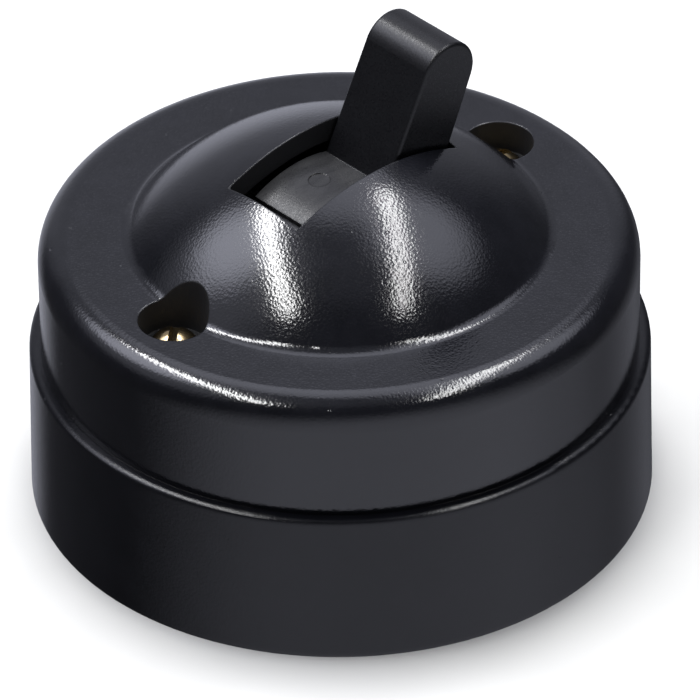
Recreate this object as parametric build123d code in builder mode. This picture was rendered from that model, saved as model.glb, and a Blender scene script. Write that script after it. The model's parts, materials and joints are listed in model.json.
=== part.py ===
from build123d import *
from math import acos, asin, cos, radians, sin, sqrt, tan
import os

# Round surface-mounted toggle switch: a moulded base and domed cover, a toggle lever ("dolly")
# on trunnions, and a sprung plunger that tips a brass rocker between two fixed contacts.
# Frame: origin at the centre of the back face, +Z out of the wall, X along the lever's travel.

# Base
base_radius = 31.0
base_foot_flare = 0.3
base_height = 16.3
base_wall = 2.7
base_rim_round = 0.5
floor_thickness = 3.0
pedestal_corner = 0.7
fixing_spacing = 40.0
fixing_hole_radius = 2.25
fixing_pad_radius = 4.5
fixing_pad_height = 1.0
cable_entry_radius = 5.0
cable_entry_x = 13.5
cable_entry_y = 13.0

# Cover
rim_ledge = 1.15
spigot_wall = 1.0
spigot_depth = 2.0
spigot_clearance = 0.15
cover_side_height = 12.85
cover_shell = 2.4
cover_edge_round = 3.0
cover_inner_round = 1.2
dome_foot_radius = 20.9
dome_height = 9.75
dome_foot_round = 1.5
slot_side_gap = 0.5
slot_end_gap = 0.3
slot_corner = 0.4
slot_edge_round = 0.1
well_edge_round = 0.1

# Cover screws, in wells of the cover, into brass inserts in posts of the base
cover_screw_spacing = 44.0
well_radius = 3.5
well_depth = 3.5
well_wall = 1.4
well_floor = 2.0
boss_end_radius = 4.2
post_drop = 0.3
rib_thickness = 1.8
cover_screw_head_radius = 2.5
cover_screw_head_height = 2.1
cover_screw_radius = 1.5
cover_screw_length = 16.0
cover_screw_turns = (38.0, 0.0)
insert_radius = 2.4
insert_length = 7.0
head_rim = 0.5
slot_width = 0.9
slot_depth = 1.2
screw_clearance = 0.05
screw_hole_clearance = 0.2

# Lever and drum, moulded in one with the trunnions
mechanism_x = 0.7
pivot_depth = 15.9
lever_tilt = 25.5
lever_tip_reach = 23.85
lever_tip_radius = 3.4
lever_side_taper = 1.6
lever_half_width = 4.4
lever_edge_round = 0.35
drum_radius = 13.15
drum_center_offset = 1.5
drum_center_drop = 1.25
drum_skin = 1.8
drum_cheek = 1.5
drum_pad_angle = 52.0
drum_skirt_angle = 72.0
drum_skirt_step = 1.0
stem_half_width = 3.3
stem_reach = 6.8
mark_radius = 1.1
mark_depth = 0.12
mark_angle = 28.4
mark_y = 0.7
trunnion_radius = 2.0
trunnion_shoulder_radius = 3.4
trunnion_shoulder_length = 1.2
trunnion_end_play = 0.15
trunnion_overhang = 0.4
running_clearance = 0.05

# Plunger and its spring, in a bore of the lever
plunger_radius = 2.0
plunger_reach = 8.5
plunger_length = 6.5
plunger_bore_radius = 1.45
plunger_crown = 0.6
spring_bore_end = 6.0
spring_wire = 0.4
spring_side_gap = 0.1
spring_pitch = 2.0

# Bearing ears
ear_thickness = 1.2
ear_half_width = 3.5
ear_foot_length = 7.0
ear_bend_radius = 1.0
ear_top_round = 3.2
ear_drop = 14.0
ear_screw_radius = 1.5
ear_screw_length = 6.0
ear_screw_head_radius = 2.6
ear_screw_head_height = 1.8

# Rocker
rocker_swing = 7.5
rocker_thickness = 1.0
rocker_half_width = 3.5
rocker_waist_half_width = 2.6
rocker_waist_half_length = 2.0
rocker_end_margin = 2.0
trough_gap = 0.1
trough_margin = 6.0
rocker_lug_radius = 0.45
rocker_lug_overhang = 0.3
contact_reach = 12.0
contact_radius = 1.6
contact_height = 0.8
contact_shank_radius = 0.9
contact_crown = 0.3
contact_gap = 0.05

# Terminal strips with their screws, clamping washers and rivets
strip_thickness = 1.2
strip_half_width = 2.2
saddle_clearance = 0.15
saddle_half_length = 2.6
saddle_ear_half_length = 1.4
saddle_ear_thickness = 1.0
saddle_ear_gap = 0.3
saddle_ear_height = 2.0
saddle_ear_round = 1.1
common_leg_offset = 6.6
common_leg_half_width = 2.0
common_terminal_offset = 7.3
common_terminal_y = 13.8
load_terminal_y = 12.5
terminal_pad_half = 3.1
terminal_screw_radius = 1.75
terminal_screw_length = 7.0
terminal_screw_head_radius = 2.9
terminal_screw_head_height = 2.0
washer_half = 3.2
washer_thickness = 0.8
washer_corner = 0.6
rivet_y = 7.3
rivet_radius = 1.0
rivet_head_radius = 1.6
rivet_head_height = 0.5
rivet_tail_radius = 1.9
rivet_tail_height = 0.6
rivet_clearance = 0.03
rivet_pocket_radius = 2.8
rivet_pocket_depth = 4.5

# Housing heights and radii
base_inner_radius = base_radius - base_wall
cover_radius = base_radius - rim_ledge
spigot_radius = base_inner_radius - spigot_clearance
cover_inner_radius = spigot_radius - spigot_wall
flange_z = base_height + cover_side_height
apex_z = flange_z + dome_height
dome_radius = (dome_foot_radius**2 + dome_height**2) / (2 * dome_height)
dome_center_z = apex_z - dome_radius
inner_flange_z = flange_z - cover_shell
inner_dome_radius = dome_radius - cover_shell
inner_foot_radius = sqrt(inner_dome_radius**2 - (inner_flange_z - dome_center_z) ** 2)
well_seat_z = flange_z - well_depth
boss_end_z = base_height - post_drop
screw_xs = (-cover_screw_spacing / 2, cover_screw_spacing / 2)

# Lever: the line of its rear face gives the slot's end
pivot_z = apex_z - pivot_depth
tilt = radians(lever_tilt)
taper = radians(lever_side_taper)
root_half_thickness = lever_tip_radius / cos(taper) + lever_tip_reach * tan(taper)
rear_angle = tilt - taper
rear_x = mechanism_x + root_half_thickness * cos(tilt)
rear_z = pivot_z - root_half_thickness * sin(tilt)
rear_along = rear_x * sin(rear_angle) + (rear_z - dome_center_z) * cos(rear_angle)
rear_offset_squared = rear_x**2 + (rear_z - dome_center_z) ** 2 - dome_radius**2
rear_to_dome = sqrt(rear_along**2 - rear_offset_squared) - rear_along
slot_half_length = rear_x + rear_to_dome * sin(rear_angle) - mechanism_x + slot_end_gap
slot_half_width = lever_half_width + slot_side_gap
ear_inner_y = lever_half_width + trunnion_shoulder_length + trunnion_end_play
ear_outer_y = ear_inner_y + ear_thickness
ear_seat_z = pivot_z - ear_drop
ear_screw_y = ear_outer_y + ear_bend_radius + ear_screw_head_radius + screw_hole_clearance
trunnion_end_y = ear_outer_y + trunnion_overhang
plunger_hole_radius = plunger_radius + running_clearance

# Rocker: its trough follows the plunger's nose, seen from the rocker, over the whole travel
swing = radians(rocker_swing)
rocker_axis_z = pivot_z - plunger_reach - plunger_radius - trough_gap - rocker_thickness / 2
nose_drop_x = plunger_reach * sin(tilt)
nose_rise_z = pivot_z - plunger_reach * cos(tilt) - rocker_axis_z
nose_end_x = nose_drop_x * cos(swing) - nose_rise_z * sin(swing)
nose_end_z = nose_drop_x * sin(swing) + nose_rise_z * cos(swing)
nose_lift = nose_end_z - (pivot_z - plunger_reach - rocker_axis_z)
nose_path_radius = (nose_end_x**2 + nose_lift**2) / (2 * nose_lift)
trough_radius = nose_path_radius + plunger_radius + trough_gap
trough_outer_radius = trough_radius + rocker_thickness
trough_angle = asin(nose_end_x / nose_path_radius) + radians(trough_margin)
trough_center_z = trough_radius + rocker_thickness / 2
trough_flat_z = trough_center_z * cos(swing)
wing_height = trough_flat_z - rocker_thickness - trough_radius * cos(trough_angle - swing)
trough_outer_angle = swing + acos((trough_flat_z - wing_height) / trough_outer_radius)
wing_end = contact_reach + rocker_end_margin

# Terminal strips
saddle_z = rocker_axis_z - rocker_thickness / 2 - saddle_clearance
common_seat_z = saddle_z - strip_thickness
fixed_contact_z = rocker_axis_z + wing_height - contact_height - contact_gap
load_strip_z = fixed_contact_z - contact_height
load_seat_z = load_strip_z - strip_thickness
saddle_ear_y = rocker_waist_half_width + saddle_ear_gap
saddle_half_width = saddle_ear_y + saddle_ear_thickness
common_leg_x = mechanism_x - common_leg_offset
common_terminal_x = mechanism_x - common_terminal_offset
load_sides = (1, -1)

# Planes: each looks along +Y onto a moving piece, or stands on a seat
lever_plane = Plane(
    origin=(mechanism_x, 0, pivot_z), x_dir=(cos(tilt), 0, -sin(tilt)), z_dir=(0, -1, 0)
)
plunger_plane = Plane(
    origin=(mechanism_x, 0, pivot_z), x_dir=(0, 1, 0), z_dir=(-sin(tilt), 0, -cos(tilt))
)
rocker_plane = Plane(
    origin=(mechanism_x, 0, rocker_axis_z), x_dir=(cos(swing), 0, sin(swing)), z_dir=(0, -1, 0)
)


def wing_plane(side):
    """Underside of the rocker's wing at its contact: the -X wing is down and level at rest."""
    rise = 2 * swing if side > 0 else 0
    x = mechanism_x + side * (contact_reach * cos(rise) - wing_height * sin(rise))
    z = rocker_axis_z + contact_reach * sin(rise) + wing_height * cos(rise)
    return Plane(origin=(x, 0, z), x_dir=(0, 1, 0), z_dir=(-side * sin(rise), 0, cos(rise)))


def polar(radius, angle, center_z):
    """Point at an angle from straight down, on a circle round a centre above the origin."""
    return (radius * sin(angle), center_z - radius * cos(angle))


def wing_point(side, along, height):
    """Point of the rocker's profile, measured along and above a wing's underside."""
    x = along * cos(swing) - height * sin(swing)
    z = along * sin(swing) + height * cos(swing)
    return (side * x, z)


def drum_point(radius, angle):
    """Point of the drum's +X flank in the lever's plane, by its angle from the lever's line."""
    turn = radians(angle)
    return (drum_center_offset + radius * sin(turn), radius * cos(turn) - drum_center_drop)


def nearest_corner(section, x, y):
    """Corner of a sketched section nearest a point."""
    return section.vertices().sort_by_distance((x, y))[0]


def slotted_screw(seat, head_radius, head_height, shank_radius, shank_length):
    """One slotted screw with its round head on the seat plane and its slot along the plane's X."""
    crown = head_height - head_rim
    crown_radius = (head_radius**2 + crown**2) / (2 * crown)
    with BuildPart() as screw:
        with BuildSketch(Plane(origin=seat.origin, x_dir=seat.x_dir, z_dir=-seat.y_dir)):
            with BuildLine():
                Polyline((0, head_height), (0, 0), (head_radius, 0), (head_radius, head_rim))
                RadiusArc((0, head_height), (head_radius, head_rim), crown_radius)
            make_face()
        revolve(axis=Axis(seat.origin, seat.z_dir))
        with BuildSketch(seat.offset(head_height)):
            Rectangle(2 * head_radius, slot_width)
        extrude(amount=-slot_depth, mode=Mode.SUBTRACT)
        with BuildSketch(seat):
            Circle(shank_radius)
        extrude(amount=-shank_length)
    return screw.part


# Base: cup with posts for the cover's screws and pedestals for the mechanism
with BuildPart() as base:
    with BuildSketch(Plane.XZ) as base_section:
        with BuildLine():
            Polyline(
                (0, 0),
                (base_radius + base_foot_flare, 0),
                (base_radius, base_height),
                (base_inner_radius, base_height),
                (base_inner_radius, floor_thickness),
                (0, floor_thickness),
                close=True,
            )
        make_face()
        fillet(nearest_corner(base_section, base_radius, base_height), base_rim_round)
    revolve(axis=Axis.Z)
    # Posts, each tied to the wall by a rib below the cover's spigot
    with BuildSketch(Plane.XY.offset(floor_thickness)):
        with Locations([(x, 0) for x in screw_xs]):
            Circle(boss_end_radius)
    extrude(amount=boss_end_z - floor_thickness)
    with BuildSketch(Plane.XY.offset(floor_thickness)):
        for x in screw_xs:
            with Locations(((x + base_inner_radius * x / abs(x)) / 2, 0)):
                Rectangle(base_inner_radius - abs(x) + base_wall, rib_thickness)
    extrude(amount=boss_end_z - spigot_depth - floor_thickness)
    # Plinth under the two bearing ears
    with BuildSketch(Plane.XY.offset(floor_thickness)):
        with Locations((mechanism_x, 0)):
            plinth_length = 2 * (ear_outer_y + ear_foot_length + pedestal_corner)
            RectangleRounded(2 * (ear_half_width + pedestal_corner), plinth_length, pedestal_corner)
    extrude(amount=ear_seat_z - floor_thickness)
    # Pedestal of the common strip: saddle, link, leg and terminal
    with BuildSketch(Plane.XY.offset(floor_thickness)):
        saddle_left = common_leg_x - common_leg_half_width
        saddle_right = mechanism_x + saddle_half_length
        with Locations(((saddle_left + saddle_right) / 2, 0)):
            Rectangle(saddle_right - saddle_left, 2 * strip_half_width)
        with Locations((mechanism_x, 0)):
            Rectangle(2 * saddle_half_length, 2 * saddle_half_width)
        with Locations((common_leg_x, -common_terminal_y / 2)):
            Rectangle(2 * common_leg_half_width, common_terminal_y)
        with Locations((common_terminal_x, -common_terminal_y)):
            Rectangle(2 * terminal_pad_half, 2 * terminal_pad_half)
    extrude(amount=common_seat_z - floor_thickness)
    # Pedestals of the two load strips
    with BuildSketch(Plane.XY.offset(floor_thickness)):
        for side in load_sides:
            load_x = mechanism_x + side * contact_reach
            with Locations((load_x, -side * load_terminal_y / 2)):
                Rectangle(2 * strip_half_width, load_terminal_y + 2 * strip_half_width)
            with Locations((load_x, -side * load_terminal_y)):
                Rectangle(2 * terminal_pad_half, 2 * terminal_pad_half)
    extrude(amount=load_seat_z - floor_thickness)
    # Wall fixings on raised pads, and the cable entry
    with BuildSketch(Plane.XY.offset(floor_thickness)):
        with GridLocations(0, fixing_spacing, 1, 2):
            Circle(fixing_pad_radius)
    extrude(amount=fixing_pad_height)
    with BuildSketch():
        with GridLocations(0, fixing_spacing, 1, 2):
            Circle(fixing_hole_radius)
        with Locations((cable_entry_x, cable_entry_y)):
            Circle(cable_entry_radius)
    extrude(amount=floor_thickness + fixing_pad_height, mode=Mode.SUBTRACT)
    # Holes for inserts, ear screws, terminal screws and rivets
    with BuildSketch(Plane.XY.offset(boss_end_z)):
        with Locations([(x, 0) for x in screw_xs]):
            Circle(insert_radius)
    extrude(amount=-insert_length, mode=Mode.SUBTRACT)
    with BuildSketch(Plane.XY.offset(boss_end_z)):
        with Locations([(x, 0) for x in screw_xs]):
            Circle(cover_screw_radius + screw_hole_clearance)
    extrude(amount=floor_thickness - boss_end_z, mode=Mode.SUBTRACT)
    with BuildSketch(Plane.XY.offset(ear_seat_z)):
        with Locations([(mechanism_x, ear_screw_y), (mechanism_x, -ear_screw_y)]):
            Circle(ear_screw_radius + screw_clearance)
    extrude(amount=-ear_screw_length, mode=Mode.SUBTRACT)
    terminal_places = [(common_terminal_x, -common_terminal_y, common_seat_z)]
    rivet_places = [(common_leg_x, -rivet_y, common_seat_z)]
    for side in load_sides:
        load_x = mechanism_x + side * contact_reach
        terminal_places.append((load_x, -side * load_terminal_y, load_seat_z))
        rivet_places.append((load_x, -side * rivet_y, load_seat_z))
    for x, y, seat_z in terminal_places:
        with BuildSketch(Plane.XY.offset(seat_z)):
            with Locations((x, y)):
                Circle(terminal_screw_radius + screw_hole_clearance)
        extrude(amount=-terminal_screw_length, mode=Mode.SUBTRACT)
    for x, y, seat_z in rivet_places:
        with BuildSketch():
            with Locations((x, y)):
                Circle(rivet_radius + rivet_clearance)
        extrude(amount=seat_z, mode=Mode.SUBTRACT)
        with BuildSketch():
            with Locations((x, y)):
                Circle(rivet_pocket_radius)
        extrude(amount=rivet_pocket_depth, mode=Mode.SUBTRACT)
    # Clearance pockets under the fixed contacts' shanks
    for side in load_sides:
        with BuildSketch(Plane.XY.offset(load_seat_z)):
            with Locations((mechanism_x + side * contact_reach, 0)):
                Circle(contact_radius)
        extrude(amount=-contact_height, mode=Mode.SUBTRACT)

# Hollow of the cover, with the two screw bosses and their ribs left standing in it
with BuildPart() as hollow:
    with BuildSketch(Plane.XZ) as hollow_section:
        with BuildLine():
            dome_mid = asin(inner_foot_radius / inner_dome_radius) / 2
            Polyline(
                (inner_foot_radius, inner_flange_z),
                (cover_inner_radius, inner_flange_z),
                (cover_inner_radius, base_height - spigot_depth),
                (0, base_height - spigot_depth),
                (0, apex_z - cover_shell),
            )
            ThreePointArc(
                (0, apex_z - cover_shell),
                (inner_dome_radius * sin(dome_mid), dome_center_z + inner_dome_radius * cos(dome_mid)),
                (inner_foot_radius, inner_flange_z),
            )
        make_face()
        fillet(nearest_corner(hollow_section, cover_inner_radius, inner_flange_z), cover_inner_round)
    revolve(axis=Axis.Z)
    for x in screw_xs:
        boss_top_radius = well_radius + well_wall
        with BuildSketch(Plane.XY.offset(boss_end_z)):
            with Locations((x, 0)):
                Circle(boss_end_radius)
        with BuildSketch(Plane.XY.offset(well_seat_z - well_floor)):
            with Locations((x, 0)):
                Circle(boss_top_radius)
        loft(mode=Mode.SUBTRACT)
        with BuildSketch(Plane.XY.offset(well_seat_z - well_floor)):
            with Locations((x, 0)):
                Circle(boss_top_radius)
        extrude(amount=apex_z - well_seat_z, mode=Mode.SUBTRACT)
        with BuildSketch(Plane.XY.offset(base_height)):
            with Locations(((x + cover_inner_radius * x / abs(x)) / 2, 0)):
                Rectangle(cover_inner_radius - abs(x) + cover_shell, rib_thickness)
        extrude(amount=cover_side_height, mode=Mode.SUBTRACT)

# Cover: skirt, rounded shoulder, flat flange and shallow dome, cut by the wells and the slot
with BuildPart() as cover:
    with BuildSketch(Plane.XZ) as cover_section:
        with BuildLine():
            dome_mid = asin(dome_foot_radius / dome_radius) / 2
            Polyline(
                (dome_foot_radius, flange_z),
                (cover_radius, flange_z),
                (cover_radius, base_height),
                (spigot_radius, base_height),
                (spigot_radius, base_height - spigot_depth),
                (0, base_height - spigot_depth),
                (0, apex_z),
            )
            ThreePointArc(
                (0, apex_z),
                (dome_radius * sin(dome_mid), dome_center_z + dome_radius * cos(dome_mid)),
                (dome_foot_radius, flange_z),
            )
        make_face()
        fillet(nearest_corner(cover_section, cover_radius, flange_z), cover_edge_round)
        fillet(nearest_corner(cover_section, dome_foot_radius, flange_z), dome_foot_round)
    revolve(axis=Axis.Z)
    add(hollow.part, mode=Mode.SUBTRACT)
    with BuildSketch(Plane.XY.offset(well_seat_z)):
        with Locations([(x, 0) for x in screw_xs]):
            Circle(well_radius)
    extrude(amount=apex_z - well_seat_z, mode=Mode.SUBTRACT)
    well_lips = cover.edges(Select.LAST).filter_by(
        lambda edge: (edge @ 0.5).Z > flange_z - well_edge_round
    )
    fillet(well_lips, well_edge_round)
    with BuildSketch(Plane.XY.offset(boss_end_z)):
        with Locations([(x, 0) for x in screw_xs]):
            Circle(cover_screw_radius + screw_hole_clearance)
    extrude(amount=apex_z - boss_end_z, mode=Mode.SUBTRACT)
    with BuildSketch(Plane.XY.offset(inner_flange_z)):
        with Locations((mechanism_x, 0)):
            RectangleRounded(2 * slot_half_length, 2 * slot_half_width, slot_corner)
    extrude(amount=apex_z - inner_flange_z, mode=Mode.SUBTRACT)
    dome_center = Vector(0, 0, dome_center_z)
    slot_lip = cover.edges(Select.LAST).filter_by(
        lambda edge: (edge @ 0.5 - dome_center).length > dome_radius - slot_edge_round
    )
    fillet(slot_lip, slot_edge_round)

# Lever: tapered grip with a round end, on a drum whose raised pad fills the slot
with BuildPart() as dolly:
    with BuildSketch(lever_plane):
        with BuildLine():
            drum_crown = sqrt(drum_radius**2 - drum_center_offset**2) - drum_center_drop
            skirt_radius = drum_radius - drum_skirt_step
            pad_end = drum_point(drum_radius, drum_pad_angle)
            skirt_start = drum_point(skirt_radius, drum_pad_angle)
            skirt_end = drum_point(skirt_radius, drum_skirt_angle)
            RadiusArc((0, drum_crown), pad_end, drum_radius)
            Line(pad_end, skirt_start)
            RadiusArc(skirt_start, skirt_end, skirt_radius)
            Polyline(
                skirt_end,
                (stem_half_width, -trunnion_shoulder_radius),
                (stem_half_width, -stem_reach),
                (0, -stem_reach),
                (0, drum_crown),
            )
        make_face()
        mirror(about=Plane.YZ)
    extrude(amount=lever_half_width, both=True)
    # Pockets between the cheeks, open below
    with BuildSketch(lever_plane):
        with BuildLine():
            skin_radius = drum_radius - drum_skin
            pocket_end = drum_center_offset + skin_radius
            pocket_start = stem_half_width - drum_center_offset
            pocket_top = sqrt(skin_radius**2 - pocket_start**2) - drum_center_drop
            RadiusArc((stem_half_width, pocket_top), (pocket_end, -drum_center_drop), skin_radius)
            Polyline(
                (pocket_end, -drum_center_drop),
                (pocket_end, -drum_radius),
                (stem_half_width, -drum_radius),
                (stem_half_width, pocket_top),
            )
        make_face()
        mirror(about=Plane.YZ)
    extrude(amount=lever_half_width - drum_cheek, both=True, mode=Mode.SUBTRACT)
    # Grip
    with BuildSketch(lever_plane):
        with BuildLine():
            side_x = lever_tip_radius * cos(taper)
            side_s = lever_tip_reach + lever_tip_radius * sin(taper)
            Line((-root_half_thickness, 0), (-side_x, side_s))
            ThreePointArc(
                (-side_x, side_s), (0, lever_tip_reach + lever_tip_radius), (side_x, side_s)
            )
            Polyline((side_x, side_s), (root_half_thickness, 0), (-root_half_thickness, 0))
        make_face()
    extrude(amount=lever_half_width, both=True)
    grip_edges = dolly.edges().filter_by(
        lambda edge: abs(abs(edge.center().Y) - lever_half_width) < lever_edge_round
        and lever_plane.to_local_coords(edge.center()).Y > drum_radius
    )
    fillet(grip_edges, lever_edge_round)
    # Trunnions with their shoulders
    for end_y, radius in (
        (lever_half_width + trunnion_shoulder_length, trunnion_shoulder_radius),
        (trunnion_end_y, trunnion_radius),
    ):
        with BuildSketch(lever_plane):
            Circle(radius)
        extrude(amount=end_y, both=True)
    # Bore for the spring and plunger, from the end of the stem up into the grip
    with BuildSketch(plunger_plane.offset(stem_reach)):
        Circle(plunger_hole_radius)
    extrude(amount=-(stem_reach + spring_bore_end), mode=Mode.SUBTRACT)
    # Ejector mark on the drum beside the grip
    mark_x, mark_z = drum_point(drum_radius, mark_angle)
    mark_center = lever_plane.from_local_coords((-mark_x, mark_z, -mark_y))
    mark_turn = tilt - radians(mark_angle)
    mark_normal = (sin(mark_turn), 0, cos(mark_turn))
    with BuildSketch(Plane(origin=mark_center, x_dir=(0, 1, 0), z_dir=mark_normal)):
        Circle(mark_radius)
    extrude(amount=-mark_depth, both=True, mode=Mode.SUBTRACT)

# Plunger: thimble with a round nose and a bore for the spring
with BuildPart() as plunger:
    rim_at = plunger_reach - plunger_length
    with BuildSketch(plunger_plane.offset(rim_at)):
        Circle(plunger_radius)
    extrude(amount=plunger_length)
    with Locations(plunger_plane.offset(plunger_reach)):
        Sphere(plunger_radius)
    with BuildSketch(plunger_plane.offset(rim_at)):
        Circle(plunger_bore_radius)
    extrude(amount=plunger_length - plunger_crown, mode=Mode.SUBTRACT)

# Spring between the end of the lever's bore and the bottom of the plunger's
with BuildPart() as plunger_spring:
    coil_radius = plunger_bore_radius - spring_side_gap - spring_wire / 2
    coil_start = -spring_bore_end + spring_wire
    coil_height = plunger_reach - plunger_crown - spring_wire - coil_start
    coil_plane = plunger_plane.offset(coil_start)
    with BuildLine() as coil:
        Helix(spring_pitch, coil_height, coil_radius, coil_plane.origin, coil_plane.z_dir)
    with BuildSketch(Plane(origin=coil.line @ 0, z_dir=coil.line % 0)):
        Circle(spring_wire / 2)
    sweep(is_frenet=True)

# Bearing ears: folded steel, screwed to the plinth on each side of the lever
ears = {}
for name, side in (("bearing_ear_front", -1), ("bearing_ear_rear", 1)):
    ear_top_z = pivot_z + ear_half_width
    ear_plane = Plane(origin=(mechanism_x, 0, 0), x_dir=(0, side, 0), z_dir=(side, 0, 0))
    with BuildPart() as ear:
        with BuildSketch(ear_plane):
            with BuildLine():
                Polyline(
                    (ear_inner_y, ear_seat_z),
                    (ear_outer_y + ear_foot_length, ear_seat_z),
                    (ear_outer_y + ear_foot_length, ear_seat_z + ear_thickness),
                    (ear_outer_y, ear_seat_z + ear_thickness),
                    (ear_outer_y, ear_top_z),
                    (ear_inner_y, ear_top_z),
                    close=True,
                )
            make_face()
        extrude(amount=ear_half_width, both=True)
        bends = ear.edges().filter_by(Axis.X)
        inner_bend = bends.sort_by_distance((mechanism_x, side * ear_outer_y, ear_seat_z + ear_thickness))[0]
        outer_bend = bends.sort_by_distance((mechanism_x, side * ear_inner_y, ear_seat_z))[0]
        fillet(inner_bend, ear_bend_radius)
        fillet(outer_bend, ear_bend_radius + ear_thickness)
        with BuildSketch(Plane.XZ.offset(-side * ear_inner_y)):
            with Locations((mechanism_x, pivot_z)):
                Circle(trunnion_radius + running_clearance)
        extrude(amount=-side * ear_thickness, mode=Mode.SUBTRACT)
        with BuildSketch(Plane.XY.offset(ear_seat_z)):
            with Locations((mechanism_x, side * ear_screw_y)):
                Circle(ear_screw_radius + screw_hole_clearance)
        extrude(amount=ear_thickness, mode=Mode.SUBTRACT)
        top_corners = ear.edges().filter_by(Axis.Y).group_by(Axis.Z)[-1]
        fillet(top_corners, ear_top_round)
        foot_corners = ear.edges().filter_by(Axis.Z).group_by(Axis.Y)[-1 if side > 0 else 0]
        fillet(foot_corners, ear_bend_radius)
    ears[name] = ear

# Rocker: brass strip bent to a trough between two wings, waisted where it sits in its saddle
with BuildPart() as rocker:
    with BuildSketch(rocker_plane):
        with BuildLine():
            trough_top = polar(trough_radius, trough_angle, trough_center_z)
            trough_under = polar(trough_outer_radius, trough_outer_angle, trough_center_z)
            Polyline(
                trough_top,
                wing_point(1, wing_end, wing_height + rocker_thickness),
                wing_point(1, wing_end, wing_height),
                trough_under,
            )
            ThreePointArc(trough_under, (0, -rocker_thickness / 2), (-trough_under[0], trough_under[1]))
            Polyline(
                (-trough_under[0], trough_under[1]),
                wing_point(-1, wing_end, wing_height),
                wing_point(-1, wing_end, wing_height + rocker_thickness),
                (-trough_top[0], trough_top[1]),
            )
            ThreePointArc((-trough_top[0], trough_top[1]), (0, rocker_thickness / 2), trough_top)
        make_face()
    extrude(amount=rocker_half_width, both=True)
    for side in load_sides:
        waist_cut = rocker_half_width - rocker_waist_half_width
        with BuildSketch(rocker_plane.offset(side * rocker_half_width)):
            Rectangle(2 * rocker_waist_half_length, 2 * trough_radius)
        extrude(amount=-side * waist_cut, mode=Mode.SUBTRACT)
    with BuildSketch(rocker_plane):
        Circle(rocker_lug_radius)
    extrude(amount=saddle_half_width + rocker_lug_overhang, both=True)
    for side in load_sides:
        with BuildSketch(wing_plane(side)):
            Circle(contact_shank_radius + rivet_clearance)
        extrude(amount=rocker_thickness, mode=Mode.SUBTRACT)

# Moving contacts, riveted through the rocker's wings
moving_contacts = {}
for name, side in (("moving_contact_right", 1), ("moving_contact_left", -1)):
    with BuildPart() as moving_contact:
        with BuildSketch(wing_plane(side)):
            Circle(contact_radius)
        extrude(amount=-contact_height)
        with BuildSketch(wing_plane(side)):
            Circle(contact_shank_radius)
        extrude(amount=rocker_thickness + contact_crown)
    moving_contacts[name] = moving_contact

# Common strip: saddle with two upstands for the rocker's waist, leg and terminal pad
with BuildPart() as common_terminal:
    with BuildSketch(Plane.XY.offset(common_seat_z)):
        with Locations(((saddle_left + saddle_right) / 2, 0)):
            Rectangle(saddle_right - saddle_left, 2 * strip_half_width)
        with Locations((mechanism_x, 0)):
            Rectangle(2 * saddle_half_length, 2 * saddle_half_width)
        with Locations((common_leg_x, -common_terminal_y / 2)):
            Rectangle(2 * common_leg_half_width, common_terminal_y)
        with Locations((common_terminal_x, -common_terminal_y)):
            RectangleRounded(2 * terminal_pad_half, 2 * terminal_pad_half, washer_corner)
        with Locations((common_terminal_x, -common_terminal_y)):
            Circle(terminal_screw_radius + screw_clearance, mode=Mode.SUBTRACT)
        with Locations((common_leg_x, -rivet_y)):
            Circle(rivet_radius + rivet_clearance, mode=Mode.SUBTRACT)
    extrude(amount=strip_thickness)
    with BuildSketch(Plane.XY.offset(saddle_z)):
        upstand_y = saddle_ear_y + saddle_ear_thickness / 2
        with Locations((mechanism_x, upstand_y), (mechanism_x, -upstand_y)):
            Rectangle(2 * saddle_ear_half_length, saddle_ear_thickness)
    extrude(amount=saddle_ear_height)
    upstand_tops = common_terminal.edges().filter_by(Axis.Y).group_by(Axis.Z)[-1]
    fillet(upstand_tops, saddle_ear_round)
    with BuildSketch(Plane.XZ):
        with Locations((mechanism_x, rocker_axis_z)):
            Circle(rocker_lug_radius + running_clearance)
    extrude(amount=saddle_half_width, both=True, mode=Mode.SUBTRACT)

# Load strips with their fixed contacts, one under each wing
load_terminals = {}
fixed_contacts = {}
for name, side in (("right", 1), ("left", -1)):
    load_x = mechanism_x + side * contact_reach
    with BuildPart() as load_terminal:
        with BuildSketch(Plane.XY.offset(load_seat_z)):
            with Locations((load_x, -side * load_terminal_y / 2)):
                Rectangle(2 * strip_half_width, load_terminal_y + 2 * strip_half_width)
            with Locations((load_x, -side * load_terminal_y)):
                RectangleRounded(2 * terminal_pad_half, 2 * terminal_pad_half, washer_corner)
                Circle(terminal_screw_radius + screw_clearance, mode=Mode.SUBTRACT)
            with Locations((load_x, -side * rivet_y)):
                Circle(rivet_radius + rivet_clearance, mode=Mode.SUBTRACT)
            with Locations((load_x, 0)):
                Circle(contact_shank_radius + rivet_clearance, mode=Mode.SUBTRACT)
        extrude(amount=strip_thickness)
    load_terminals["load_terminal_" + name] = load_terminal
    with BuildPart() as fixed_contact:
        with BuildSketch(Plane.XY.offset(load_strip_z)):
            with Locations((load_x, 0)):
                Circle(contact_radius)
        extrude(amount=contact_height)
        with BuildSketch(Plane.XY.offset(load_strip_z)):
            with Locations((load_x, 0)):
                Circle(contact_shank_radius)
        extrude(amount=-(strip_thickness + contact_crown))
    fixed_contacts["fixed_contact_" + name] = fixed_contact

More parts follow.
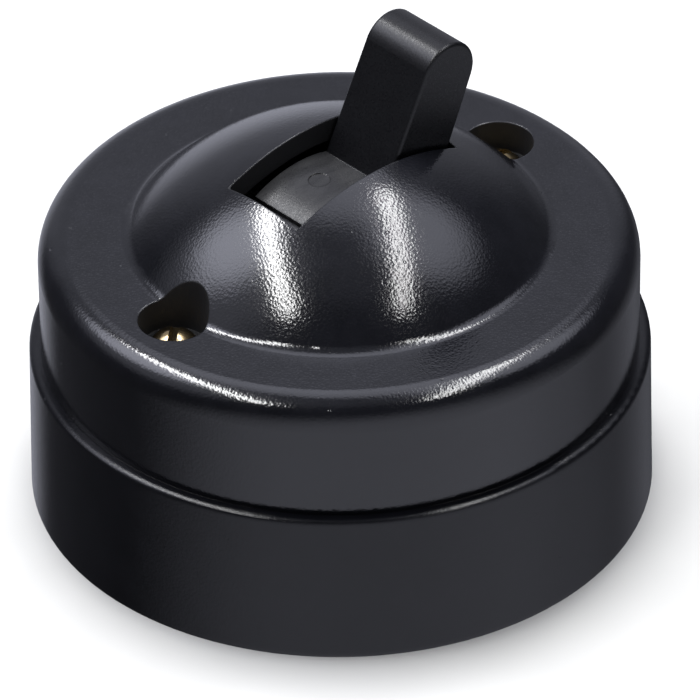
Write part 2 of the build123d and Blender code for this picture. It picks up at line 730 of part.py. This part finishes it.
# Terminal screws and the square washers under their heads
terminal_screws = []
terminal_washers = []
strip_rivets = []
for x, y, seat_z in terminal_places:
    washer_z = seat_z + strip_thickness
    seat = Plane(origin=(x, y, washer_z + washer_thickness))
    terminal_screws.append(
        slotted_screw(
            seat,
            terminal_screw_head_radius,
            terminal_screw_head_height,
            terminal_screw_radius,
            terminal_screw_length,
        )
    )
    with BuildPart() as washer:
        with BuildSketch(Plane.XY.offset(washer_z)):
            with Locations((x, y)):
                RectangleRounded(2 * washer_half, 2 * washer_half, washer_corner)
                Circle(terminal_screw_radius + screw_clearance, mode=Mode.SUBTRACT)
        extrude(amount=washer_thickness)
    terminal_washers.append(washer.part)

# Rivets that hold the strips, headed over in pockets of the back
for x, y, seat_z in rivet_places:
    strip_top = seat_z + strip_thickness
    with BuildPart() as rivet:
        with BuildSketch(Plane.XY.offset(strip_top)):
            with Locations((x, y)):
                Circle(rivet_head_radius)
        extrude(amount=rivet_head_height)
        with BuildSketch(Plane.XY.offset(strip_top)):
            with Locations((x, y)):
                Circle(rivet_radius)
        extrude(amount=rivet_pocket_depth - strip_top)
        with BuildSketch(Plane.XY.offset(rivet_pocket_depth)):
            with Locations((x, y)):
                Circle(rivet_tail_radius)
        extrude(amount=-rivet_tail_height)
    strip_rivets.append(rivet.part)

# Ear screws, cover screws and the inserts that take the cover screws
ear_screws = []
for y in (ear_screw_y, -ear_screw_y):
    seat = Plane(origin=(mechanism_x, y, ear_seat_z + ear_thickness))
    ear_screws.append(
        slotted_screw(
            seat, ear_screw_head_radius, ear_screw_head_height, ear_screw_radius, ear_screw_length
        )
    )
cover_screws = []
cover_inserts = []
for x, turn in zip(screw_xs, map(radians, cover_screw_turns)):
    seat = Plane(origin=(x, 0, well_seat_z), x_dir=(cos(turn), sin(turn), 0), z_dir=(0, 0, 1))
    cover_screws.append(
        slotted_screw(
            seat,
            cover_screw_head_radius,
            cover_screw_head_height,
            cover_screw_radius,
            cover_screw_length,
        )
    )
    with BuildPart() as insert:
        with BuildSketch(Plane.XY.offset(boss_end_z - insert_length)):
            with Locations((x, 0)):
                Circle(insert_radius)
                Circle(cover_screw_radius + screw_clearance, mode=Mode.SUBTRACT)
        extrude(amount=insert_length)
    cover_inserts.append(insert.part)

# Export, one file for each piece or set of like fasteners
os.makedirs("parts", exist_ok=True)
pieces = {
    "base": base.part,
    "cover": cover.part,
    "dolly": dolly.part,
    "plunger": plunger.part,
    "plunger_spring": plunger_spring.part,
    "rocker": rocker.part,
    "common_terminal": common_terminal.part,
    "terminal_screws": Compound(children=terminal_screws),
    "terminal_washers": Compound(children=terminal_washers),
    "strip_rivets": Compound(children=strip_rivets),
    "ear_screws": Compound(children=ear_screws),
    "cover_screws": Compound(children=cover_screws),
    "cover_inserts": Compound(children=cover_inserts),
}
for group in (ears, moving_contacts, load_terminals, fixed_contacts):
    for name, builder in group.items():
        pieces[name] = builder.part
for name, piece in pieces.items():
    piece.label = name
    export_step(piece, f"parts/{name}.step")
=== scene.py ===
import json
import math

import bpy
from mathutils import Matrix, Vector

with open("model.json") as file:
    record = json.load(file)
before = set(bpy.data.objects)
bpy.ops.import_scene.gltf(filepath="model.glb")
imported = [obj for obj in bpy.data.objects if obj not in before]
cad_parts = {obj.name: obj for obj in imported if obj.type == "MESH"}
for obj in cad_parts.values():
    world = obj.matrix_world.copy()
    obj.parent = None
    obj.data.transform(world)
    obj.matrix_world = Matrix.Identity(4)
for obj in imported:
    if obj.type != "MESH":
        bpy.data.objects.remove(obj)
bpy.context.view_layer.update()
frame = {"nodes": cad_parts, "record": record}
nodes = frame["nodes"]

# Units: metres for sizes, places and depths, degrees for angles, features to the metre for texture scales

# Camera, with its sensor and lens in millimetres
VIEW_AZIMUTH = -42.6
VIEW_ELEVATION = 35.84
VIEW_ROLL = -0.71
VIEW_DISTANCE = 0.8
VIEW_TARGET = Vector((0, 0, 0.017))
VIEW_RIGHT = 0.000965
VIEW_UP = -0.002126
VIEW_END = 20
SENSOR_WIDTH = 36.0
LENS = 412.7

# Part of the noise's range that colours and gloss are spread over
NOISE_LOW = 0.3
NOISE_HIGH = 0.7

# Black mouldings: colours, texture scales, depths of the orange peel and its layers, and softened edges
HOUSING_DARK = (0.0013, 0.0014, 0.0020)
HOUSING_LIGHT = (0.0026, 0.0027, 0.0037)
LEVER_DARK = (0.0013, 0.0013, 0.0017)
LEVER_LIGHT = (0.0021, 0.0022, 0.0027)
CLOUD_SCALE = 260
SKIN_SCALE = 1100
SPECKLE_SCALE = 5400
DIMPLE_SCALE = 3400
PIT_SCALE = 300
HOUSING_PEEL = 0.000015
LEVER_PEEL = 0.000008
SKIN_SHARE = 0.25
SPECKLE_SHARE = 0.5
DIMPLE_SHARE = 0.6
PIT_DEPTH = 0.00003
PIT_BOTTOM = 0.03
PIT_RIM = 0.055
EDGE_BREAK = 0.0002
RIM_BREAK = 0.0006
EDGE_SAMPLES = 4

# Lever's drum: centres and radius of its two flanks in the XZ plane, and the film that rubbing leaves on them
DRUM_CENTERS = ((-0.00119, 0, 0.02252), (0.00152, 0, 0.02123))
DRUM_RADIUS = 0.01317
DRUM_FADE = 0.00006
DRUM_FILM = (0.0105, 0.0106, 0.0112)
SMEAR_SCALE = 700
SMEAR_STRETCH = (0.3, 1, 1)
SMEAR_LEAST = 0.3

# Cover's screw wells and slot in the XY plane, with the slot's fade as a share of its half sizes
WELL_CENTERS = ((-0.022, 0, 0), (0.022, 0, 0))
WELL_RADIUS = 0.0035
WELL_FADE = 0.00003
SLOT_CENTER_X = 0.0007
SLOT_HALF_LENGTH = 0.01074
SLOT_HALF_WIDTH = 0.0049
SLOT_FADE = 0.006
CUT_ROUGHNESS = 0.62

# Scales that leave out one axis
WITHOUT_Y = (1, 0, 1)
WITHOUT_Z = (1, 1, 0)

# Metals: clean and tarnished colours, and the fine lines along X
BRASS_BRIGHT = (0.54, 0.42, 0.24)
BRASS_DULL = (0.28, 0.21, 0.11)
STEEL_BRIGHT = (0.66, 0.67, 0.69)
STEEL_DULL = (0.48, 0.49, 0.52)
SILVER_BRIGHT = (0.88, 0.87, 0.84)
SILVER_DULL = (0.66, 0.64, 0.60)
TARNISH_SCALE = 320
LINE_SCALE = 9000
LINE_STRETCH = (0.06, 1, 1)

# Floor
FLOOR_SIZE = 6.0
FLOOR_SCALE = 40
FLOOR_DARK = (0.26, 0.26, 0.257)
FLOOR_LIGHT = (0.28, 0.28, 0.277)
FLOOR_ROUGHNESS = 0.8

# Lamps: ends of each middle line, to the right of the camera and away from it, as shares of their height
LAMP_HEIGHT = 0.9
STRIP_LEFT_ENDS = ((-0.42, -0.54), (-0.48, 0.52))
STRIP_LEFT_RADIANCE = 39.0
STRIP_RIGHT_ENDS = ((0.52, -0.50), (0.28, 0.57))
STRIP_RIGHT_RADIANCE = 23.0
STRIP_WIDTH = 0.078
TOP_ENDS = ((-0.22, 0.16), (0.16, 0.16))
TOP_RADIANCE = 60.0
TOP_WIDTH = 0.34

# Room, with soft glows that are each given by bearing from the camera, elevation, angle and radiance
ROOM_COLOR = (0.93, 0.95, 1.10)
ROOM_DIM = 0.07
GLOW_CORE = 0.25
ROOM_GLOWS = (
    (18, -38, 80, 0.95),
    (-174, 24, 48, 0.40),
    (180, 60, 24, 1.7),
    (-165, -18, 30, 0.48),
    (-109, 51, 22, 4.2),
    (113, 58, 26, 2.2),
    (-92, 46, 38, 0.7),
    (128, -38, 36, 0.14),
    (0, 88, 30, 0.20),
)


def shader_tree(name):
    """A new material with its node tree, its shader and its object coordinates."""
    material = bpy.data.materials.new(name)
    material.use_nodes = True
    tree = material.node_tree
    shader = tree.nodes["Principled BSDF"]
    place = tree.nodes.new("ShaderNodeTexCoord").outputs["Object"]
    return material, tree, shader, place


def noise(tree, place, scale, detail=2.0, roughness=0.5):
    """Noise with about this many features to the metre."""
    node = tree.nodes.new("ShaderNodeTexNoise")
    node.inputs["Scale"].default_value = scale
    node.inputs["Detail"].default_value = detail
    node.inputs["Roughness"].default_value = roughness
    tree.links.new(place, node.inputs["Vector"])
    return node.outputs["Fac"]


def dimples(tree, place, scale):
    """Small round hollows, about this many to the metre."""
    node = tree.nodes.new("ShaderNodeTexVoronoi")
    node.inputs["Scale"].default_value = scale
    tree.links.new(place, node.inputs["Vector"])
    return node.outputs["Distance"]


def stretched(tree, place, scale):
    """Coordinates scaled along each axis, for grain that runs one way or to leave out an axis."""
    node = tree.nodes.new("ShaderNodeMapping")
    node.inputs["Scale"].default_value = scale
    tree.links.new(place, node.inputs["Vector"])
    return node.outputs["Vector"]


def spread(tree, value, low, high, start=NOISE_LOW, end=NOISE_HIGH):
    """A value brought from start..end to low..high."""
    node = tree.nodes.new("ShaderNodeMapRange")
    node.inputs["From Min"].default_value = start
    node.inputs["From Max"].default_value = end
    node.inputs["To Min"].default_value = low
    node.inputs["To Max"].default_value = high
    tree.links.new(value, node.inputs["Value"])
    return node.outputs["Result"]


def tint(tree, value, low, high):
    """A colour between two, by the noise's middle range."""
    node = tree.nodes.new("ShaderNodeValToRGB")
    first, last = node.color_ramp.elements
    first.position = NOISE_LOW
    first.color = (*low, 1)
    last.position = NOISE_HIGH
    last.color = (*high, 1)
    tree.links.new(value, node.inputs["Fac"])
    return node.outputs["Color"]


def bump(tree, height, depth, below=None):
    """A bump of this depth, laid over another one."""
    node = tree.nodes.new("ShaderNodeBump")
    node.inputs["Distance"].default_value = depth
    tree.links.new(height, node.inputs["Height"])
    if below is not None:
        tree.links.new(below, node.inputs["Normal"])
    return node.outputs["Normal"]


def combine(tree, operation, first, second):
    """Two values put together by a sum, a product or the like."""
    node = tree.nodes.new("ShaderNodeMath")
    node.operation = operation
    tree.links.new(first, node.inputs[0])
    tree.links.new(second, node.inputs[1])
    return node.outputs["Value"]


def distance(tree, place, center):
    """How far a place lies from a centre."""
    node = tree.nodes.new("ShaderNodeVectorMath")
    node.operation = "DISTANCE"
    node.inputs[1].default_value = center
    tree.links.new(place, node.inputs[0])
    return node.outputs["Value"]


def within(tree, place, centers, radius, fade):
    """1 inside a radius of the nearer of two centres, 0 outside, with a narrow fade."""
    first, second = [distance(tree, place, center) for center in centers]
    nearest = combine(tree, "MINIMUM", first, second)
    return spread(tree, nearest, 1, 0, start=radius, end=radius + fade)


def within_slot(tree, place):
    """1 on the walls of the slot, 0 outside it, with a narrow fade."""
    shares = tree.nodes.new("ShaderNodeMapping")
    shares.inputs["Location"].default_value = (-SLOT_CENTER_X / SLOT_HALF_LENGTH, 0, 0)
    shares.inputs["Scale"].default_value = (1 / SLOT_HALF_LENGTH, 1 / SLOT_HALF_WIDTH, 0)
    tree.links.new(place, shares.inputs["Vector"])
    sizes = tree.nodes.new("ShaderNodeVectorMath")
    sizes.operation = "ABSOLUTE"
    tree.links.new(shares.outputs["Vector"], sizes.inputs[0])
    axes = tree.nodes.new("ShaderNodeSeparateXYZ")
    tree.links.new(sizes.outputs["Vector"], axes.inputs["Vector"])
    reach = combine(tree, "MAXIMUM", axes.outputs["X"], axes.outputs["Y"])
    return spread(tree, reach, 1, 0, start=1 + SLOT_FADE, end=1 + 2 * SLOT_FADE)


def moulded_plastic(name, dark, light, smooth, rough, peel, gloss=0.5, edge=EDGE_BREAK):
    """Black moulding: cloudy tone, speckled gloss, orange peel of this depth, a few pits and soft edges."""
    material, tree, shader, place = shader_tree(name)
    clouds = noise(tree, place, CLOUD_SCALE, detail=6, roughness=0.7)
    speckle = noise(tree, place, SPECKLE_SCALE, detail=0.8)
    skin = noise(tree, place, SKIN_SCALE, detail=2)
    pits = spread(tree, dimples(tree, place, PIT_SCALE), 0, 1, start=PIT_BOTTOM, end=PIT_RIM)
    edges = tree.nodes.new("ShaderNodeBevel")
    edges.samples = EDGE_SAMPLES
    edges.inputs["Radius"].default_value = edge
    normal = bump(tree, skin, peel * SKIN_SHARE, below=edges.outputs["Normal"])
    normal = bump(tree, speckle, peel * SPECKLE_SHARE, below=normal)
    normal = bump(tree, dimples(tree, place, DIMPLE_SCALE), peel * DIMPLE_SHARE, below=normal)
    normal = bump(tree, pits, PIT_DEPTH, below=normal)
    tree.links.new(tint(tree, clouds, dark, light), shader.inputs["Base Color"])
    tree.links.new(spread(tree, speckle, smooth, rough), shader.inputs["Roughness"])
    tree.links.new(normal, shader.inputs["Normal"])
    shader.inputs["Specular IOR Level"].default_value = gloss
    return material


def rub_drum(material):
    """A pale film on the two flanks of the drum, which rub in the slot."""
    tree = material.node_tree
    shader = tree.nodes["Principled BSDF"]
    place = tree.nodes.new("ShaderNodeTexCoord").outputs["Object"]
    flanks = within(tree, stretched(tree, place, WITHOUT_Y), DRUM_CENTERS, DRUM_RADIUS, DRUM_FADE)
    streaks = noise(tree, stretched(tree, place, SMEAR_STRETCH), SMEAR_SCALE, detail=4)
    share = combine(tree, "MULTIPLY", flanks, spread(tree, streaks, SMEAR_LEAST, 1))
    bare = shader.inputs["Base Color"].links[0].from_socket
    mix = tree.nodes.new("ShaderNodeMix")
    mix.data_type = "RGBA"
    mix.inputs["B"].default_value = (*DRUM_FILM, 1)
    tree.links.new(share, mix.inputs["Factor"])
    tree.links.new(bare, mix.inputs["A"])
    tree.links.new(mix.outputs["Result"], shader.inputs["Base Color"])


def dull_cuts(material):
    """Matt walls in the screw wells and the slot, whose mould pins aren't polished."""
    tree = material.node_tree
    shader = tree.nodes["Principled BSDF"]
    place = tree.nodes.new("ShaderNodeTexCoord").outputs["Object"]
    plan = stretched(tree, place, WITHOUT_Z)
    wells = within(tree, plan, WELL_CENTERS, WELL_RADIUS + WELL_FADE, WELL_FADE)
    cuts = combine(tree, "MAXIMUM", wells, within_slot(tree, place))
    matt = spread(tree, cuts, 0, CUT_ROUGHNESS, start=0, end=1)
    gloss = shader.inputs["Roughness"].links[0].from_socket
    tree.links.new(combine(tree, "MAXIMUM", gloss, matt), shader.inputs["Roughness"])


def metal(name, bright, dull, smooth, rough, grain):
    """Worked metal: tarnish in patches, and fine lines along X from rolling or turning."""
    material, tree, shader, place = shader_tree(name)
    shader.inputs["Metallic"].default_value = 1.0
    patches = noise(tree, place, TARNISH_SCALE, detail=5, roughness=0.65)
    lines = noise(tree, stretched(tree, place, LINE_STRETCH), LINE_SCALE, detail=2)
    tree.links.new(tint(tree, patches, bright, dull), shader.inputs["Base Color"])
    tree.links.new(spread(tree, patches, smooth, rough), shader.inputs["Roughness"])
    tree.links.new(bump(tree, lines, grain), shader.inputs["Normal"])
    return material


def dress_nodes():
    """Each CAD node gets the finish of its slot in the record, and the base a copy of the housing finish with
    dimmer gloss, as painted shade.
    """
    slot_finishes = {
        "housing_black": moulded_plastic(
            "housing_black", HOUSING_DARK, HOUSING_LIGHT, smooth=0.09, rough=0.17, peel=HOUSING_PEEL
        ),
        "lever_black": moulded_plastic(
            "lever_black", LEVER_DARK, LEVER_LIGHT, smooth=0.26, rough=0.38, peel=LEVER_PEEL, gloss=0.3
        ),
        "brass": metal("brass", BRASS_BRIGHT, BRASS_DULL, smooth=0.12, rough=0.26, grain=0.000002),
        "steel": metal("steel", STEEL_BRIGHT, STEEL_DULL, smooth=0.22, rough=0.40, grain=0.000003),
        "contact_silver": metal(
            "contact_silver", SILVER_BRIGHT, SILVER_DULL, smooth=0.14, rough=0.30, grain=0.000002
        ),
    }
    node_finishes = {
        # Painted shade: the base's gloss is turned down so its walls reflect less, standing in for the
        # shadowed floor they would mirror near the bottom
        "base": moulded_plastic(
            "base_black_painted_shade",
            HOUSING_DARK,
            HOUSING_LIGHT,
            smooth=0.12,
            rough=0.20,
            peel=HOUSING_PEEL,
            gloss=0.31,
            edge=RIM_BREAK,
        ),
    }
    rub_drum(slot_finishes["lever_black"])
    dull_cuts(slot_finishes["housing_black"])
    for subpart in frame["record"]["subparts"]:
        mesh = nodes[subpart["node"]].data
        mesh.materials.clear()
        mesh.materials.append(node_finishes.get(subpart["node"]) or slot_finishes[subpart["material_slot"]])


def view_axes():
    """The camera's own place, and its right, up and back directions."""
    azimuth = math.radians(VIEW_AZIMUTH)
    elevation = math.radians(VIEW_ELEVATION)
    flat = math.cos(elevation)
    back = Vector((math.sin(azimuth) * flat, -math.cos(azimuth) * flat, math.sin(elevation)))
    right = Vector((0, 0, 1)).cross(back).normalized()
    up = back.cross(right)
    eye = VIEW_TARGET + VIEW_DISTANCE * back
    aim = VIEW_TARGET + VIEW_RIGHT * right + VIEW_UP * up
    back = (eye - aim).normalized()
    right = Vector((0, 0, 1)).cross(back).normalized()
    right = Matrix.Rotation(math.radians(VIEW_ROLL), 3, back) @ right
    return eye, right, back.cross(right), back


def add_camera():
    """The scene's camera, at the chosen view."""
    eye, right, up, back = view_axes()
    camera = bpy.data.objects.new("camera", bpy.data.cameras.new("camera"))
    camera.data.sensor_width = SENSOR_WIDTH
    camera.data.lens = LENS
    camera.data.clip_end = VIEW_END
    turn = Matrix((right, up, back)).transposed().to_4x4()
    camera.matrix_world = Matrix.Translation(eye) @ turn
    bpy.context.scene.collection.objects.link(camera)
    bpy.context.scene.camera = camera


def studio_point(side, away, height):
    """A point by its distances to the right of and away from the camera, and above the floor."""
    azimuth = math.radians(VIEW_AZIMUTH)
    right = Vector((math.cos(azimuth), math.sin(azimuth), 0))
    forward = Vector((-math.sin(azimuth), math.cos(azimuth), 0))
    return side * right + away * forward + Vector((0, 0, height))


def add_panel(name, near, far, width, radiance, mirrored=True):
    """A rectangular lamp over the object, whose long middle line runs from near to far."""
    along = (far - near).normalized()
    center = (near + far) / 2
    back = (center - center.dot(along) * along).normalized()
    lamp = bpy.data.lights.new(name, "AREA")
    lamp.shape = "RECTANGLE"
    lamp.size = (far - near).length
    lamp.size_y = width
    lamp.energy = radiance * math.pi * lamp.size * lamp.size_y
    holder = bpy.data.objects.new(name, lamp)
    turn = Matrix((along, back.cross(along), back)).transposed().to_4x4()
    holder.matrix_world = Matrix.Translation(center) @ turn
    holder.visible_glossy = mirrored
    bpy.context.scene.collection.objects.link(holder)


def direction(bearing, elevation):
    """A direction from the object, by its bearing from the camera and its elevation."""
    turn = math.radians(VIEW_AZIMUTH + bearing)
    rise = math.radians(elevation)
    return Vector((math.sin(turn) * math.cos(rise), -math.cos(turn) * math.cos(rise), math.sin(rise)))


def add_room():
    """A dim room with soft glows, which the gloss mirrors. The first glow also carries the dim light."""
    world = bpy.data.worlds.new("room")
    world.use_nodes = True
    tree = world.node_tree
    place = tree.nodes.new("ShaderNodeTexCoord").outputs["Generated"]
    total = None
    for bearing, elevation, angle, radiance in ROOM_GLOWS:
        dot = tree.nodes.new("ShaderNodeVectorMath")
        dot.operation = "DOT_PRODUCT"
        dot.inputs[1].default_value = direction(bearing, elevation)
        tree.links.new(place, dot.inputs[0])
        glow = tree.nodes.new("ShaderNodeMapRange")
        glow.interpolation_type = "SMOOTHSTEP"
        glow.inputs["From Min"].default_value = math.cos(math.radians(angle))
        glow.inputs["From Max"].default_value = math.cos(math.radians(angle * GLOW_CORE))
        dim = ROOM_DIM if total is None else 0
        glow.inputs["To Min"].default_value = dim
        glow.inputs["To Max"].default_value = dim + radiance
        tree.links.new(dot.outputs["Value"], glow.inputs["Value"])
        light = glow.outputs["Result"]
        total = light if total is None else combine(tree, "ADD", total, light)
    background = tree.nodes["Background"]
    tree.links.new(total, background.inputs["Strength"])
    background.inputs["Color"].default_value = (*ROOM_COLOR, 1)
    bpy.context.scene.world = world


def lamp_line(ends):
    """The two ends of a lamp's middle line, from their shares of the lamps' height."""
    return [studio_point(side * LAMP_HEIGHT, away * LAMP_HEIGHT, LAMP_HEIGHT) for side, away in ends]


def add_lights():
    """Two long strips left and right of the view, and a soft top lamp that the gloss doesn't mirror."""
    add_panel("strip_left", *lamp_line(STRIP_LEFT_ENDS), STRIP_WIDTH, STRIP_LEFT_RADIANCE)
    add_panel("strip_right", *lamp_line(STRIP_RIGHT_ENDS), STRIP_WIDTH, STRIP_RIGHT_RADIANCE)
    add_panel("lamp_top", *lamp_line(TOP_ENDS), TOP_WIDTH, TOP_RADIANCE, mirrored=False)


def add_floor():
    """A plain pale floor under the object, which the gloss doesn't mirror."""
    material, tree, shader, place = shader_tree("floor_white")
    grain = noise(tree, place, FLOOR_SCALE, detail=3)
    tree.links.new(tint(tree, grain, FLOOR_DARK, FLOOR_LIGHT), shader.inputs["Base Color"])
    shader.inputs["Roughness"].default_value = FLOOR_ROUGHNESS
    half = FLOOR_SIZE / 2
    mesh = bpy.data.meshes.new("floor")
    corners = [(-half, -half, 0), (half, -half, 0), (half, half, 0), (-half, half, 0)]
    mesh.from_pydata(corners, [], [(0, 1, 2, 3)])
    mesh.materials.append(material)
    floor = bpy.data.objects.new("floor", mesh)
    bpy.context.scene.collection.objects.link(floor)
    floor.visible_glossy = False


dress_nodes()
add_floor()
add_room()
add_lights()
add_camera()
bpy.context.scene.view_settings.view_transform = "Standard"
